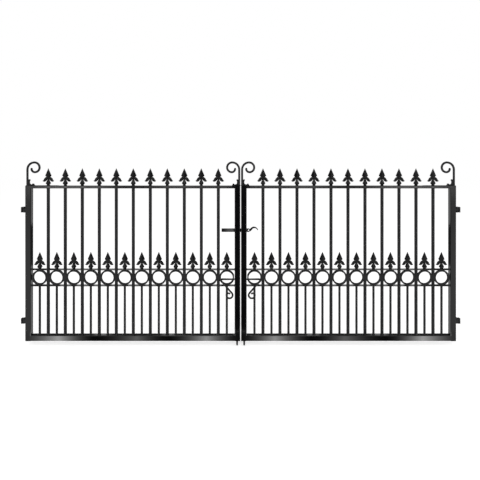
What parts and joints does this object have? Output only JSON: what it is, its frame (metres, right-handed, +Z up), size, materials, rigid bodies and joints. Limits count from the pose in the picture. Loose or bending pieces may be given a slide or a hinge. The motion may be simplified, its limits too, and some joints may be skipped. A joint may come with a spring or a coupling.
{
  "type": "wrought iron driveway gate",
  "caption": "Pair of black wrought iron driveway gate leaves with spear finials, a ring band, dog bars, top scrolls, a latch bar and drop bolts, hung on post brackets.",
  "frame": {"origin": "middle of the lower left hinge bracket's outer face, where it meets its post", "axes": "+X along the gate from left to right, +Y from its front to its back, +Z up"},
  "size_m": [3.12, 0.0599, 1.324],
  "materials": {
    "frame_paint": "gloss",
    "cast_paint": "gloss",
    "hardware_paint": "satin"
  },
  "bodies": {
    "hinge_brackets": {"left_hinge_brackets": "hardware_paint", "right_hinge_brackets": "hardware_paint", "left_hinge_pins": "hardware_paint", "right_hinge_pins": "hardware_paint"},
    "left_leaf": {"left_hinge_stile": "frame_paint", "left_meeting_stile": "frame_paint", "left_stile_caps": "frame_paint", "left_bottom_rail": "frame_paint", "left_top_rail": "frame_paint", "left_lower_flat": "frame_paint", "left_upper_flat": "frame_paint", "left_main_bars": "frame_paint", "left_dog_bars": "frame_paint", "left_rings": "frame_paint", "left_main_finials": "cast_paint", "left_dog_finials": "cast_paint", "left_hinge_scroll": "frame_paint", "left_meeting_scroll": "frame_paint", "left_corner_ornaments": "cast_paint", "left_hinge_eyes": "hardware_paint", "left_bolt_guides": "hardware_paint", "latch_keeper": "hardware_paint"},
    "right_leaf": {"right_hinge_stile": "frame_paint", "right_meeting_stile": "frame_paint", "right_stile_caps": "frame_paint", "right_bottom_rail": "frame_paint", "right_top_rail": "frame_paint", "right_lower_flat": "frame_paint", "right_upper_flat": "frame_paint", "right_main_bars": "frame_paint", "right_dog_bars": "frame_paint", "right_rings": "frame_paint", "right_main_finials": "cast_paint", "right_dog_finials": "cast_paint", "right_hinge_scroll": "frame_paint", "right_meeting_scroll": "frame_paint", "right_corner_ornaments": "cast_paint", "right_hinge_eyes": "hardware_paint", "right_bolt_guides": "hardware_paint", "latch_pivot": "hardware_paint"},
    "latch": {"latch_bar": "hardware_paint"},
    "left_drop_bolt": {"left_drop_bolt": "hardware_paint"},
    "right_drop_bolt": {"right_drop_bolt": "hardware_paint"}
  },
  "joints": [
    {"name": "left_leaf_swing", "type": "hinge", "parent": "hinge_brackets", "child": "left_leaf", "pos_m": [0.0205, 0, 0], "axis": [0, 0, 1], "range_deg": [0, 90]},
    {"name": "right_leaf_swing", "type": "hinge", "parent": "hinge_brackets", "child": "right_leaf", "pos_m": [3.0995, 0, 0], "axis": [0, 0, -1], "range_deg": [0, 90]},
    {"name": "latch_lift", "type": "hinge", "parent": "right_leaf", "child": "latch", "pos_m": [1.58275, 0.028, 0.639], "axis": [0, 1, 0], "range_deg": [0, 90]},
    {"name": "left_bolt_lift", "type": "slide", "parent": "left_leaf", "child": "left_drop_bolt", "axis": [0, 0, 1], "range_m": [0, 0.08]},
    {"name": "right_bolt_lift", "type": "slide", "parent": "right_leaf", "child": "right_drop_bolt", "axis": [0, 0, 1], "range_m": [0, 0.08]}
  ]
}
